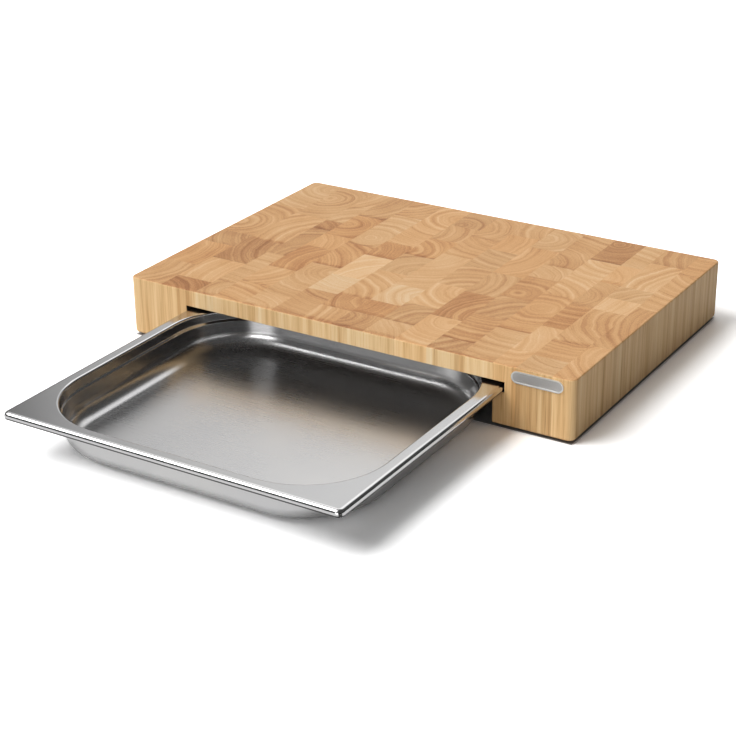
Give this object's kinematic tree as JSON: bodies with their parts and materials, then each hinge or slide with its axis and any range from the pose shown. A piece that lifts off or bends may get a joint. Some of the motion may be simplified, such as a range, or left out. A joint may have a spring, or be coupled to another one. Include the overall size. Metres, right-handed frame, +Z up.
{
  "type": "cutting board with tray",
  "caption": "End-grain wooden cutting board, slotted underneath from front to back, with a shallow stainless steel tray that slides out on grooves under the board.",
  "frame": {"origin": "on the table, in the middle of the footprint of the board with its tray drawn out as stored", "axes": "+X to the right along the board's front, +Y from the front to the back, +Z up; the tray comes out along -Y"},
  "size_m": [0.495, 0.612, 0.0635],
  "materials": {
    "wood": "oiled end grain, satin",
    "steel": "satin stainless steel, polished on the rim and the bends",
    "rubber": "matte",
    "plate": "satin"
  },
  "bodies": {
    "board": {"left_leg_strip_1": "wood", "left_leg_strip_2": "wood", "slab_strip_1": "wood", "slab_strip_2": "wood", "slab_strip_3": "wood", "slab_strip_4": "wood", "slab_strip_5": "wood", "slab_strip_6": "wood", "slab_strip_7": "wood", "slab_strip_8": "wood", "slab_strip_9": "wood", "slab_strip_10": "wood", "right_leg_strip_1": "wood", "right_leg_strip_2": "wood", "right_leg_strip_3": "wood", "foot_front_left": "rubber", "foot_front_right": "rubber", "foot_back_left": "rubber", "foot_back_right": "rubber", "name_plate": "plate"},
    "tray": {"tray": "steel"}
  },
  "joints": [
    {"name": "tray_slide", "type": "slide", "parent": "board", "child": "tray", "axis": [0, -1, 0], "range_m": [-0.272, 0.058]}
  ]
}
